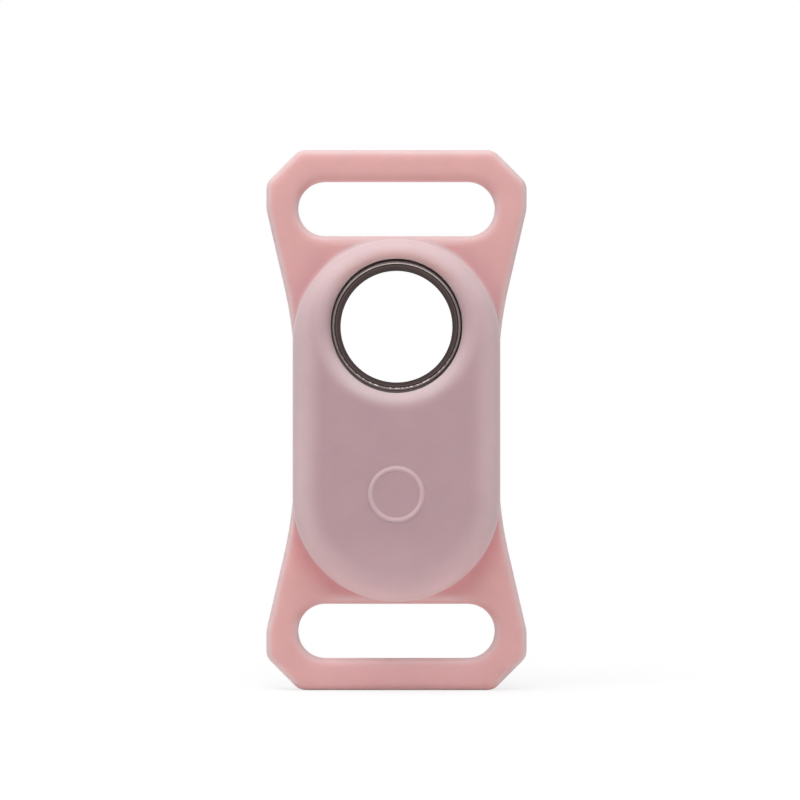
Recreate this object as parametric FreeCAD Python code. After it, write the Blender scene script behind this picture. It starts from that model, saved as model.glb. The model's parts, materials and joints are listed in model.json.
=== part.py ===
import FreeCAD, Part
import math
import os

# A silicone sleeve that carries an oval tracker tag on a strap, with the tag inside it.
# Everything is modelled lying on its back: X to the right, Y up along the length, Z to the front,
# with the back plane at Z zero and the middle of the tag over the origin.
# At the end each piece is stood up, so that its length runs along Z and its front faces -Y.
# All sizes are in millimetres.

# Coin cell
CELL_DIAMETER = 20.0
CELL_HEIGHT = 3.2
CELL_CAP_PROUD = 0.2
CELL_CAP_DEPTH = 0.6
CELL_CRIMP = 0.3
CELL_GASKET_WIDTH = 0.7
CELL_EDGE_RADIUS = 0.4

# Battery tray, its seal and the land in the shells that the seal runs on
CELL_GAP = 0.1
TRAY_SIDE = 0.9
TRAY_FLOOR = 0.4
TRAY_INNER_WALL = 1.0
TRAY_END = 4.2
TRAY_LEDGE = 3.0
TRAY_GAP = 0.1
TRAY_SEAL_WIDTH = 0.8
TRAY_SEAL_DEPTH = 0.5
TRAY_SEAL_INSET = 1.6
LAND_MARGIN = 0.4
LAND_DROP = 4.0

# Piezo sounder behind the tray
BUZZER_RADIUS = 7.5
BUZZER_PLATE_THICKNESS = 0.2
CERAMIC_RADIUS = 5.5
CERAMIC_THICKNESS = 0.15
BUZZER_GAP = 0.15
BUZZER_LEAD_THICKNESS = 0.08
BUZZER_TAB_WIDTH = 1.6
BUZZER_PIN_RADIUS = 0.25
BUZZER_PIN_CLEARANCE = 0.15

# Circuit board and what it carries
BOARD_THICKNESS = 0.8
BOARD_GAP = 0.2
BOARD_EAR = 1.5
CONTACT_SPACE = 0.3
CONTACT_SHEET = 0.12
CONTACT_WIDTH = 2.4
CONTACT_FOOT = 2.0
CONTACT_DROP = 2.0
CONTACT_REACH = 4.0
CONTACT_TIP = 1.2
CONTACT_CLEARANCE = 0.3
SHIELD_WIDTH = 8.4
SHIELD_LENGTH = 8.0
SHIELD_PITCH = 12.4
SHIELD_CLEARANCE = 0.2
SHIELD_GAP = 1.0
SHIELD_EDGE_RADIUS = 0.2
CRYSTAL_WIDTH = 1.6
CRYSTAL_LENGTH = 2.0
CRYSTAL_HEIGHT = 0.5
CAPACITOR_WIDTH = 0.5
CAPACITOR_LENGTH = 1.0
CAPACITOR_HEIGHT = 0.5
CAPACITOR_PITCH = 2.0
CAPACITOR_COUNT = 6
PATCH_MARGIN = 0.5
PATCH_LENGTH = 4.5
PATCH_HEIGHT = 0.4
END_PATCH_WIDTH = 7.0
END_PATCH_LENGTH = 1.6

# Key and dome switch
KEY_RADIUS = 3.5
KEY_GAP = 0.15
KEY_FLANGE = 0.7
KEY_FLANGE_THICKNESS = 0.25
KEY_SEAL_DEPTH = 0.4
KEY_SEAL_WIDTH = 0.35
KEY_SEAL_INSET = 0.25
KEY_SEAL_CLEARANCE = 0.06
PLUNGER_RADIUS = 0.9
PLUNGER_LENGTH = 0.25
PLUNGER_GAP = 0.05
SWITCH_SIZE = 4.2
SWITCH_BASE_THICKNESS = 0.15
DOME_RADIUS = 1.9
DOME_HEIGHT = 0.3
DOME_SHEET = 0.08
KEY_TO_SHIELD = 2.1

# Metal ring of the tag
RING_BORE_RADIUS = 8.6
RING_WALL = 0.8
RING_FLANGE = 0.45
RING_FLANGE_THICKNESS = 0.8
RING_PROUD = 0.2
RING_GAP = 0.05
RING_RIM_CHAMFER = 0.12
RING_LAND = 0.25
RING_STEP = 0.08
RING_CONE_DEPTH = 0.7
RING_SEAL_WIDTH = 0.35
RING_SEAL_THICKNESS = 0.3
RING_REAR_SEAL_INSET = 0.4
RING_TOP_BAND = 2.0
BARREL_WALL = 0.8

# Shells of the tag
SHELL_WALL = 1.1
REAR_WALL = 0.9
FRONT_WALL = 0.9
SIDE_SPACE = 2.2
EAR_SPACE = 2.9
RADIO_SPACE = 4.9
TAG_EDGE_RADIUS = 2.5
POST_RADIUS = 0.6
POST_INSET = 0.9
SHELL_SEAL_INSET = 0.35
SHELL_SEAL_WIDTH = 0.4
SHELL_SEAL_DEPTH = 0.4

# Silicone sleeve
FIT_GAP = 0.1
POD_WALL = 1.35
WINDOW_GAP = 0.25
WINDOW_ROUND = 1.4
WINDOW_LAND = 0.3
LIP_THICKNESS = 1.2
LIP_REACH = 1.5
LIP_HUG = 1.0
LIP_ROUND = 0.4
SLOT_WIDTH = 30.2
SLOT_HEIGHT = 8.3
LOOP_BAND = 4.95
POD_TO_SLOT = 0.65
CORNER_CHAMFER = 5.1
CORNER_EXTRA = 0.3
SIDE_STRAIGHT = 4.05
FLARE_RADIUS = 3.0
FLANK_RADIUS = 60.0
FLANK_REACH = 0.9
WAIST_DROP = 4.8
WAIST_INSET = 0.1
FRAME_EDGE_RADIUS = 1.5
FRAME_SIDE_LAND = 0.4

# Button of the sleeve
BEAD_RADIUS = 4.35
BEAD_WIDTH = 0.8
BEAD_HEIGHT = 0.35
MEMBRANE_THICKNESS = 0.9
MEMBRANE_GAP = 0.08
PIP_RADIUS = 2.6
PIP_GAP = 0.05

# How far cutting bodies run past what they cut, how closely edges are matched, and at how many points
OVERRUN = 2.0
MATCH = 0.001
MATCH_POINTS = 5

# Radii of the ring, the cell and the key, from the axis of each outwards
ring_tube_radius = RING_BORE_RADIUS + RING_WALL
ring_flange_radius = ring_tube_radius + RING_FLANGE
barrel_radius = ring_tube_radius + RING_GAP + BARREL_WALL
window_radius = ring_flange_radius + WINDOW_GAP
cell_radius = CELL_DIAMETER / 2
pocket_radius = cell_radius + CELL_GAP
gasket_radius = cell_radius - CELL_CRIMP
cap_radius = gasket_radius - CELL_GASKET_WIDTH
key_hole_radius = KEY_RADIUS + KEY_GAP
key_flange_radius = KEY_RADIUS + KEY_FLANGE

# Half widths, from the middle line outwards
tray_half_width = pocket_radius + TRAY_SIDE
tunnel_half_width = tray_half_width + TRAY_GAP
room_half_width = max(tunnel_half_width + SIDE_SPACE, barrel_radius + EAR_SPACE)
tag_half_width = room_half_width + SHELL_WALL
cavity_half_width = tag_half_width + FIT_GAP
pod_half_width = cavity_half_width + POD_WALL
board_half_width = room_half_width - BOARD_GAP
post_x = board_half_width - POST_INSET
frame_half_width = SLOT_WIDTH / 2 + LOOP_BAND

# Lengths, and the heights of the centres along Y
tag_above_tray = RING_TOP_BAND + ring_flange_radius + barrel_radius + RADIO_SPACE
tray_length = TRAY_INNER_WALL + pocket_radius * 2 + TRAY_END
tag_half_length = (tag_above_tray + tray_length) / 2
half_straight = tag_half_length - tag_half_width
pod_half_length = half_straight + pod_half_width
slot_y = pod_half_length + POD_TO_SLOT + SLOT_HEIGHT / 2
frame_half_length = slot_y + SLOT_HEIGHT / 2 + LOOP_BAND
ring_y = tag_half_length - RING_TOP_BAND - ring_flange_radius
cell_y = TRAY_END + pocket_radius - tag_half_length
tray_inner_y = cell_y + pocket_radius + TRAY_INNER_WALL
shield_y = ring_y - barrel_radius - SHIELD_GAP - SHIELD_LENGTH / 2
shield_low_y = shield_y - SHIELD_LENGTH / 2
capacitor_y = shield_low_y - KEY_TO_SHIELD / 2
button_y = shield_low_y - KEY_TO_SHIELD - key_flange_radius
seal_outer_radius = tag_half_width - TRAY_SEAL_INSET
seal_inner_radius = seal_outer_radius - TRAY_SEAL_WIDTH
land_radius = seal_inner_radius - LAND_MARGIN
land_y = -half_straight - LAND_DROP

# Levels along Z, from the back plane to the front
tag_back = LIP_THICKNESS + FIT_GAP
room_back = tag_back + REAR_WALL
plate_front = room_back + BUZZER_PLATE_THICKNESS
ceramic_front = plate_front + CERAMIC_THICKNESS
tray_back = ceramic_front + BUZZER_GAP
cell_back = tray_back + TRAY_FLOOR
cell_front = cell_back + CELL_HEIGHT
can_front = cell_front - CELL_CAP_PROUD
board_back = cell_front + CONTACT_SPACE
board_front = board_back + BOARD_THICKNESS
switch_front = board_front + SWITCH_BASE_THICKNESS
plunger_back = switch_front + DOME_HEIGHT + PLUNGER_GAP
flange_back = plunger_back + PLUNGER_LENGTH
room_front = flange_back + KEY_FLANGE_THICKNESS
tag_front = room_front + FRONT_WALL
split_level = (tag_back + tag_front) / 2
cavity_front = tag_front + FIT_GAP
pod_front = cavity_front + WINDOW_LAND + WINDOW_ROUND
ring_front = tag_front + RING_PROUD
ring_seat = ring_front - RING_FLANGE_THICKNESS
frame_front = FRAME_EDGE_RADIUS * 2 + FRAME_SIDE_LAND

# Roundings that follow the wall they belong to, the room's no further than the posts' middles
cavity_edge_radius = TAG_EDGE_RADIUS + FIT_GAP
pod_edge_radius = cavity_edge_radius + POD_WALL
room_edge_radius = min(TAG_EDGE_RADIUS - SHELL_WALL, room_half_width - post_x + POST_RADIUS / 2)
corner_radius = FRAME_EDGE_RADIUS + CORNER_EXTRA


def vec(x, y, z):
    return FreeCAD.Vector(x, y, z)


def box(x_low, x_high, y_low, y_high, z_low, z_high):
    return Part.makeBox(x_high - x_low, y_high - y_low, z_high - z_low, vec(x_low, y_low, z_low))


def cylinder(radius, centre_y, low, high, centre_x=0):
    return Part.makeCylinder(radius, high - low, vec(centre_x, centre_y, low))


def tube(inner_radius, outer_radius, centre_y, low, high):
    return cylinder(outer_radius, centre_y, low, high).cut(cylinder(inner_radius, centre_y, low, high))


def stadium(half_width, low, high):
    """A prism on the tag's long oval, grown or shrunk to the half width given."""
    right_low = vec(half_width, -half_straight, low)
    right_high = vec(half_width, half_straight, low)
    left_high = vec(-half_width, half_straight, low)
    left_low = vec(-half_width, -half_straight, low)
    top = vec(0, half_straight + half_width, low)
    bottom = vec(0, -half_straight - half_width, low)
    outline = Part.Wire([
        Part.makeLine(right_low, right_high),
        Part.Arc(right_high, top, left_high).toShape(),
        Part.makeLine(left_high, left_low),
        Part.Arc(left_low, bottom, right_low).toShape(),
    ])
    return Part.Face(outline).extrude(vec(0, 0, high - low))


def revolved(edges, centre_y):
    """A solid turned from a closed profile that is drawn in the XZ plane."""
    face = Part.Face(Part.Wire(edges))
    face.translate(vec(0, centre_y, 0))
    return face.revolve(vec(0, centre_y, 0), vec(0, 0, 1), 360)


def profile_edges(points):
    """Straight edges through points of radius and level, closed back to the first."""
    corners = [vec(radius, 0, level) for radius, level in points]
    return Part.makePolygon(corners + corners[:1]).Edges


def level_edges(shape, level):
    return [edge for edge in shape.Edges
            if abs(edge.BoundBox.ZMin - level) < MATCH and abs(edge.BoundBox.ZMax - level) < MATCH]


def rounding(before, corner, after, radius):
    """The two ends and the middle of the arc that rounds a corner between its neighbours."""
    back = (before - corner).normalize()
    onward = (after - corner).normalize()
    half_angle = back.getAngle(onward) / 2
    reach = radius / math.tan(half_angle)
    middle = (back + onward).normalize() * (radius / math.sin(half_angle) - radius)
    return corner + back * reach, corner + middle, corner + onward * reach


def mirrored_across(edges, normal):
    return edges + [edge.mirror(vec(0, 0, 0), normal) for edge in edges]


def tangent_point(corner, centre, radius):
    """Where the straight flank that starts at the corner touches the waist's circle."""
    away = corner - centre
    heading = math.atan2(away.y, away.x) + math.acos(radius / away.Length)
    return heading, centre + vec(math.cos(heading), math.sin(heading), 0) * radius


def sleeve_frame():
    """The flared plate with chamfered corners and two strap slots. Each flank's arc ends before the flare."""
    top_corner = vec(frame_half_width - CORNER_CHAMFER, frame_half_length, 0)
    side_corner = vec(frame_half_width, frame_half_length - CORNER_CHAMFER, 0)
    flare_corner = side_corner - vec(0, SIDE_STRAIGHT, 0)
    waist = vec(pod_half_width - WAIST_INSET, half_straight - WAIST_DROP, 0)
    away = flare_corner - waist
    widest_radius = away.dot(away) / (away.x * 2)
    flank_radius = min(FLANK_RADIUS, widest_radius * FLANK_REACH)
    centre = waist + vec(flank_radius, 0, 0)
    heading, flank_end = tangent_point(flare_corner, centre, flank_radius)
    middle_heading = (heading + math.pi) / 2
    flank_middle = centre + vec(math.cos(middle_heading), math.sin(middle_heading), 0) * flank_radius
    corners = [vec(0, frame_half_length, 0), top_corner, side_corner, flare_corner, flank_end]
    radii = (corner_radius, corner_radius, FLARE_RADIUS)
    quarter = []
    reached = corners[0]
    for before, corner, after, radius in zip(corners, corners[1:], corners[2:], radii):
        start, middle, end = rounding(before, corner, after, radius)
        quarter += [Part.makeLine(reached, start), Part.Arc(start, middle, end).toShape()]
        reached = end
    quarter += [
        Part.makeLine(reached, flank_end),
        Part.Arc(flank_end, flank_middle, waist).toShape(),
        Part.makeLine(waist, vec(waist.x, 0, 0)),
    ]
    outline = mirrored_across(mirrored_across(quarter, vec(1, 0, 0)), vec(0, 1, 0))
    face = Part.Face(Part.Wire(Part.__sortEdges__(outline)))
    plate = face.extrude(vec(0, 0, frame_front)).removeSplitter()
    slot = strap_slot()
    plate = plate.cut(slot.fuse(slot.mirror(vec(0, 0, 0), vec(0, 1, 0))))
    return plate.makeFillet(FRAME_EDGE_RADIUS, level_edges(plate, 0) + level_edges(plate, frame_front))


def strap_slot():
    end_radius = SLOT_HEIGHT / 2
    end_x = SLOT_WIDTH / 2 - end_radius
    low = -OVERRUN
    high = frame_front + OVERRUN
    slot = box(-end_x, end_x, slot_y - end_radius, slot_y + end_radius, low, high)
    for side in (-1, 1):
        slot = slot.fuse(cylinder(end_radius, slot_y, low, high, side * end_x))
    return slot


def sleeve_pod():
    """The raised oval with its soft front edge and the rolled edge of the ring window."""
    pod = stadium(pod_half_width, 0, pod_front)
    pod = pod.makeFillet(FRAME_EDGE_RADIUS, level_edges(pod, 0))
    pod = pod.makeFillet(pod_edge_radius, level_edges(pod, pod_front))
    pod = pod.cut(cylinder(window_radius, ring_y, split_level, pod_front + OVERRUN))
    rim = []
    for edge in pod.Edges:
        points = edge.discretize(MATCH_POINTS)
        on_wall = all(abs(math.hypot(p.x, p.y - ring_y) - window_radius) < MATCH for p in points)
        if on_wall and all(p.z > cavity_front for p in points):
            rim.append(edge)
    return pod.makeFillet(WINDOW_ROUND, rim)


def silicone_sleeve():
    cavity = stadium(cavity_half_width, -OVERRUN, cavity_front)
    cavity = cavity.makeFillet(cavity_edge_radius, level_edges(cavity, cavity_front))
    button_hole = cylinder(BEAD_RADIUS + MEMBRANE_GAP, button_y, split_level, pod_front + OVERRUN)
    sleeve = sleeve_frame().fuse(sleeve_pod())
    return sleeve.cut(cavity).cut(button_hole).removeSplitter()


def rear_lip():
    """The elastic lip that hugs the tag's rear edge and keeps the tag in the sleeve."""
    lip_front = LIP_THICKNESS + LIP_HUG
    opening_half_width = tag_half_width - LIP_REACH
    tag_room = stadium(cavity_half_width, LIP_THICKNESS, cavity_front)
    tag_room = tag_room.makeFillet(cavity_edge_radius, level_edges(tag_room, LIP_THICKNESS))
    lip = stadium(cavity_half_width, 0, lip_front).cut(tag_room)
    lip = lip.cut(stadium(opening_half_width, -OVERRUN, lip_front))
    inner_edges = [edge for edge in level_edges(lip, 0) if edge.BoundBox.XMax < opening_half_width + MATCH
                   and edge.BoundBox.XMin > -opening_half_width - MATCH]
    return lip.makeFillet(LIP_ROUND, inner_edges)


def button_membrane():
    """The button's disc with its raised bead in front and the pip that reaches the key behind."""
    disc_back = pod_front - MEMBRANE_THICKNESS
    pip_back = tag_front + PIP_GAP
    bead_inner = BEAD_RADIUS - BEAD_WIDTH
    foot = vec(BEAD_RADIUS, 0, pod_front)
    crest = vec(BEAD_RADIUS - BEAD_WIDTH / 2, 0, pod_front + BEAD_HEIGHT)
    inner_foot = vec(bead_inner, 0, pod_front)
    outline = Part.makePolygon([
        inner_foot,
        vec(0, 0, pod_front),
        vec(0, 0, pip_back),
        vec(PIP_RADIUS, 0, pip_back),
        vec(PIP_RADIUS, 0, disc_back),
        vec(BEAD_RADIUS, 0, disc_back),
        foot,
    ])
    return revolved(outline.Edges + [Part.Arc(foot, crest, inner_foot).toShape()], button_y)


def tag_envelope():
    tag = stadium(tag_half_width, tag_back, tag_front)
    return tag.makeFillet(TAG_EDGE_RADIUS, level_edges(tag, tag_back) + level_edges(tag, tag_front))


def end_land(inner_radius, top_y):
    """The solid end of the housing round the mouth of the tray."""
    land = stadium(tag_half_width, tag_back, tag_front)
    land = land.cut(cylinder(inner_radius, -half_straight, tag_back, tag_front))
    return land.common(box(-tag_half_width, tag_half_width, -tag_half_length, top_y, tag_back, tag_front))


def housing_room():
    room = stadium(room_half_width, room_back, room_front)
    room = room.makeFillet(room_edge_radius, level_edges(room, room_back) + level_edges(room, room_front))
    return room.cut(end_land(land_radius, land_y))


def tray_prism(grow, low_y, high_y):
    """The tray's straight cross-section, grown all round, between two heights."""
    half_width = tray_half_width + grow
    return box(-half_width, half_width, low_y, high_y, tray_back - grow, cell_front + grow)


def tray_mouth():
    return tray_prism(TRAY_GAP, -tag_half_length - OVERRUN, tray_inner_y + TRAY_GAP)


def housing():
    """Both shells as one hollow body, before they are parted at the split."""
    body = tag_envelope().cut(housing_room())
    body = body.fuse(cylinder(barrel_radius, ring_y, room_back, room_front))
    body = body.cut(cylinder(ring_tube_radius + RING_GAP, ring_y, tag_back - OVERRUN, tag_front + OVERRUN))
    body = body.cut(cylinder(ring_flange_radius + RING_GAP, ring_y, ring_seat, tag_front + OVERRUN))
    body = body.cut(cylinder(key_hole_radius, button_y, room_front - OVERRUN, tag_front + OVERRUN))
    return body.cut(tray_mouth())


def half_of_housing(low, high):
    span = box(-tag_half_width, tag_half_width, -tag_half_length, tag_half_length, low, high)
    return housing().common(span)


def posts(heights, low, high):
    return [cylinder(POST_RADIUS, y, low, high, x) for x in (-post_x, post_x) for y in heights]


def front_shell():
    shell = half_of_housing(split_level, tag_front)
    shell = shell.fuse(posts((shield_y, button_y), board_front, room_front + FRONT_WALL / 2))
    return shell.cut(ring_front_seal())


def rear_shell():
    shell = half_of_housing(tag_back, split_level)
    shell = shell.fuse(posts((shield_y,), tag_back + REAR_WALL / 2, board_back))
    return shell.cut(shell_seal()).cut(ring_rear_seal())


def shell_seal():
    outer = tag_half_width - SHELL_SEAL_INSET
    low = split_level - SHELL_SEAL_DEPTH
    band = stadium(outer, low, split_level).cut(stadium(outer - SHELL_SEAL_WIDTH, low, split_level))
    return band.cut(tray_mouth())


def ring_loop():
    """The turned ring: a tube with a flange in front, whose flat land breaks into a cone to the bore."""
    land_outer = ring_flange_radius - RING_RIM_CHAMFER
    land_inner = land_outer - RING_LAND
    points = [
        (RING_BORE_RADIUS, tag_back + RING_RIM_CHAMFER),
        (RING_BORE_RADIUS + RING_RIM_CHAMFER, tag_back),
        (ring_tube_radius, tag_back),
        (ring_tube_radius, ring_seat),
        (ring_flange_radius, ring_seat),
        (ring_flange_radius, ring_front - RING_RIM_CHAMFER),
        (land_outer, ring_front),
        (land_inner, ring_front),
        (land_inner - RING_STEP, ring_front - RING_STEP),
        (RING_BORE_RADIUS, ring_front - RING_CONE_DEPTH),
    ]
    return revolved(profile_edges(points), ring_y)


def ring_front_seal():
    inner = ring_tube_radius + RING_GAP
    return tube(inner, inner + RING_SEAL_WIDTH, ring_y, ring_seat - RING_SEAL_THICKNESS, ring_seat)


def ring_rear_seal():
    inner = ring_tube_radius + RING_GAP
    low = tag_back + RING_REAR_SEAL_INSET
    return tube(inner, inner + RING_SEAL_WIDTH, ring_y, low, low + RING_SEAL_THICKNESS)


def key_cap():
    """The key with its flange behind the shell, its seal groove and the plunger to the dome."""
    seal_front = tag_front - KEY_SEAL_INSET
    seal_back = seal_front - KEY_SEAL_WIDTH
    groove_radius = KEY_RADIUS - KEY_SEAL_DEPTH
    points = [
        (0, plunger_back),
        (PLUNGER_RADIUS, plunger_back),
        (PLUNGER_RADIUS, flange_back),
        (key_flange_radius, flange_back),
        (key_flange_radius, room_front),
        (KEY_RADIUS, room_front),
        (KEY_RADIUS, seal_back),
        (groove_radius, seal_back),
        (groove_radius, seal_front),
        (KEY_RADIUS, seal_front),
        (KEY_RADIUS, tag_front),
        (0, tag_front),
    ]
    return revolved(profile_edges(points), button_y)


def key_seal():
    seal_front = tag_front - KEY_SEAL_INSET
    seal_back = seal_front - KEY_SEAL_WIDTH
    inner = KEY_RADIUS - KEY_SEAL_DEPTH
    outer = key_hole_radius - KEY_SEAL_CLEARANCE
    return tube(inner, outer, button_y, seal_back, seal_front)


def switch_base():
    half = SWITCH_SIZE / 2
    return box(-half, half, button_y - half, button_y + half, board_front, switch_front)


def switch_dome():
    """The sprung metal dome, a thin cap of a sphere that stands on its rim."""
    sphere_radius = (DOME_RADIUS ** 2 + DOME_HEIGHT ** 2) / (2 * DOME_HEIGHT)
    centre = vec(0, button_y, switch_front + DOME_HEIGHT - sphere_radius)
    sheet = Part.makeSphere(sphere_radius, centre).cut(Part.makeSphere(sphere_radius - DOME_SHEET, centre))
    return sheet.common(cylinder(DOME_RADIUS, button_y, switch_front, switch_front + DOME_HEIGHT))


def circuit_board():
    """The board, open at the top for the ring and shortened at the bottom for the tray's land."""
    board = stadium(board_half_width, board_back, board_front)
    board = board.cut(cylinder(barrel_radius + BOARD_GAP, ring_y, board_back, board_front))
    board = board.cut(end_land(land_radius - BOARD_GAP, land_y + BOARD_GAP))
    ear_top = ring_y + BOARD_EAR
    below_ears = box(-tag_half_width, tag_half_width, -tag_half_length, ear_top, board_back, board_front)
    return board.common(below_ears)


def on_board(width, length, height, x, y):
    half_width = width / 2
    half_length = length / 2
    high = board_front + height
    return box(x - half_width, x + half_width, y - half_length, y + half_length, board_front, high)


def shield(side):
    height = room_front - SHIELD_CLEARANCE - board_front
    can = on_board(SHIELD_WIDTH, SHIELD_LENGTH, height, side * SHIELD_PITCH / 2, shield_y)
    corners = [edge for edge in can.Edges if edge.BoundBox.ZLength > MATCH]
    return can.makeFillet(SHIELD_EDGE_RADIUS, corners + level_edges(can, board_front + height))


def radio_shield():
    return shield(-1)


def ranging_shield():
    return shield(1)


def crystal():
    return on_board(CRYSTAL_WIDTH, CRYSTAL_LENGTH, CRYSTAL_HEIGHT, 0, shield_y)


def board_capacitors():
    first_x = -CAPACITOR_PITCH * (CAPACITOR_COUNT - 1) / 2
    places = [first_x + index * CAPACITOR_PITCH for index in range(CAPACITOR_COUNT)]
    return Part.makeCompound([
        on_board(CAPACITOR_WIDTH, CAPACITOR_LENGTH, CAPACITOR_HEIGHT, x, capacitor_y) for x in places
    ])


def antenna_patches():
    """A patch on each ear beside the ring, and one across the lower end."""
    ear_inner = barrel_radius + BOARD_GAP
    ear_x = (ear_inner + board_half_width) / 2
    patch_width = board_half_width - ear_inner - PATCH_MARGIN * 2
    ear_y = half_straight - PATCH_LENGTH / 2
    patches = [on_board(patch_width, PATCH_LENGTH, PATCH_HEIGHT, side * ear_x, ear_y) for side in (-1, 1)]
    end_radius = land_radius - BOARD_GAP - PATCH_MARGIN
    end_drop = math.sqrt(end_radius ** 2 - (END_PATCH_WIDTH / 2) ** 2)
    end_y = -half_straight - end_drop + END_PATCH_LENGTH / 2
    patches.append(on_board(END_PATCH_WIDTH, END_PATCH_LENGTH, PATCH_HEIGHT, 0, end_y))
    return Part.makeCompound(patches)


def tray_seal():
    """A rubber band round the tray, curved to follow the rounded end of the tag."""
    frame = tray_prism(TRAY_GAP, -tag_half_length, cell_y)
    frame = frame.cut(tray_prism(-TRAY_SEAL_DEPTH, -tag_half_length - OVERRUN, cell_y + OVERRUN))
    return frame.common(tube(seal_inner_radius, seal_outer_radius, -half_straight, tag_back, tag_front))


def contact_notch():
    half = CONTACT_WIDTH / 2 + CONTACT_CLEARANCE
    low = cell_front - CONTACT_DROP - CONTACT_CLEARANCE
    return box(-half, half, cell_y, tray_inner_y + OVERRUN, low, cell_front + OVERRUN)


def battery_tray():
    """The drawer, whose end closes the shells' rounded end, with the cell's pocket and its window."""
    tray = tray_prism(0, -tag_half_length, tray_inner_y).common(tag_envelope())
    tray = tray.cut(cylinder(pocket_radius, cell_y, cell_back, cell_front + OVERRUN))
    tray = tray.cut(cylinder(cell_radius - TRAY_LEDGE, cell_y, tray_back - OVERRUN, cell_front))
    return tray.cut(contact_notch()).cut(tray_seal())


def coin_cell_can():
    can = cylinder(cell_radius, cell_y, cell_back, can_front)
    can = can.makeFillet(CELL_EDGE_RADIUS, level_edges(can, cell_back))
    return can.cut(cylinder(gasket_radius, cell_y, can_front - CELL_CAP_DEPTH, can_front + OVERRUN))


def coin_cell_cap():
    return cylinder(cap_radius, cell_y, can_front - CELL_CAP_DEPTH, cell_front)


def coin_cell_gasket():
    return tube(cap_radius, gasket_radius, cell_y, can_front - CELL_CAP_DEPTH, can_front)


def bent_strip(points):
    """A strip of sheet metal, bent as a profile of height and level, centred on the middle line."""
    corners = [vec(-CONTACT_WIDTH / 2, y, level) for y, level in points]
    return Part.Face(Part.makePolygon(corners + corners[:1])).extrude(vec(CONTACT_WIDTH, 0, 0))


def positive_contact():
    """An angle from the board that bears on the side of the cell's can."""
    start = cell_y + cell_radius
    low = cell_front - CONTACT_DROP
    return bent_strip([
        (start, low),
        (start + CONTACT_SHEET, low),
        (start + CONTACT_SHEET, board_back - CONTACT_SHEET),
        (start + CONTACT_FOOT, board_back - CONTACT_SHEET),
        (start + CONTACT_FOOT, board_back),
        (start, board_back),
    ])


def negative_contact():
    """A sprung leaf from the board that bears on the middle of the cell's cap."""
    bend = cell_y + CONTACT_REACH
    return bent_strip([
        (bend + CONTACT_FOOT, board_back),
        (bend, board_back),
        (cell_y, cell_front + CONTACT_SHEET),
        (cell_y - CONTACT_TIP, cell_front + CONTACT_SHEET),
        (cell_y - CONTACT_TIP, cell_front),
        (cell_y, cell_front),
        (bend, board_back - CONTACT_SHEET),
        (bend + CONTACT_FOOT, board_back - CONTACT_SHEET),
    ])


pin_x = tunnel_half_width + BUZZER_PIN_CLEARANCE + BUZZER_PIN_RADIUS


def buzzer_tab(x_low, x_high, low, high):
    half = BUZZER_TAB_WIDTH / 2
    return box(x_low, x_high, cell_y - half, cell_y + half, low, high)


def buzzer_plate():
    disc = cylinder(BUZZER_RADIUS, cell_y, room_back, plate_front)
    return disc.fuse(buzzer_tab(-pin_x - BUZZER_PIN_RADIUS, 0, room_back, plate_front))


def buzzer_ceramic():
    return cylinder(CERAMIC_RADIUS, cell_y, plate_front, ceramic_front)


def buzzer_lead():
    lead_front = ceramic_front + BUZZER_LEAD_THICKNESS
    return buzzer_tab(0, pin_x + BUZZER_PIN_RADIUS, ceramic_front, lead_front)


def buzzer_pins():
    lead_front = ceramic_front + BUZZER_LEAD_THICKNESS
    return Part.makeCompound([
        cylinder(BUZZER_PIN_RADIUS, cell_y, plate_front, board_back, -pin_x),
        cylinder(BUZZER_PIN_RADIUS, cell_y, lead_front, board_back, pin_x),
    ])


PIECES = (
    silicone_sleeve, rear_lip, button_membrane,
    front_shell, rear_shell, shell_seal, ring_loop, ring_front_seal, ring_rear_seal,
    key_cap, key_seal, switch_base, switch_dome,
    circuit_board, radio_shield, ranging_shield, crystal, board_capacitors, antenna_patches,
    battery_tray, tray_seal, coin_cell_can, coin_cell_cap, coin_cell_gasket,
    positive_contact, negative_contact,
    buzzer_plate, buzzer_ceramic, buzzer_lead, buzzer_pins,
)


def main():
    os.makedirs("parts", exist_ok=True)
    for piece in PIECES:
        shape = piece()
        shape.rotate(vec(0, 0, 0), vec(1, 0, 0), 90)
        shape.exportStep("parts/" + piece.__name__ + ".step")


main()
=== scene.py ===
import bpy
import json
import math
from types import SimpleNamespace
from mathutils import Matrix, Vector


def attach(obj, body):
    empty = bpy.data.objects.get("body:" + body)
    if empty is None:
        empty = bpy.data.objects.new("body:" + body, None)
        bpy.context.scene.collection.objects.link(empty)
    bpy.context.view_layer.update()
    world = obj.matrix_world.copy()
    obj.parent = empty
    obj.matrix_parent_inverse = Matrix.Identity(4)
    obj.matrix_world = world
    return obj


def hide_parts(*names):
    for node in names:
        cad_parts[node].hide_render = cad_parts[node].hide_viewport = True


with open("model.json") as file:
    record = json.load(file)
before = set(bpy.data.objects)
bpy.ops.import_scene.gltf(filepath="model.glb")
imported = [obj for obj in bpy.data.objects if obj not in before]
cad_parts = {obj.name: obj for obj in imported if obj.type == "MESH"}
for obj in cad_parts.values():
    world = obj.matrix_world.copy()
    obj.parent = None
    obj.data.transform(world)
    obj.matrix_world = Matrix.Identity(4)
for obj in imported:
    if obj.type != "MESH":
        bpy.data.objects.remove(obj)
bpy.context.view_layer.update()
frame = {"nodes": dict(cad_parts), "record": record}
nodes = frame["nodes"]

MM = 0.001

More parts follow.
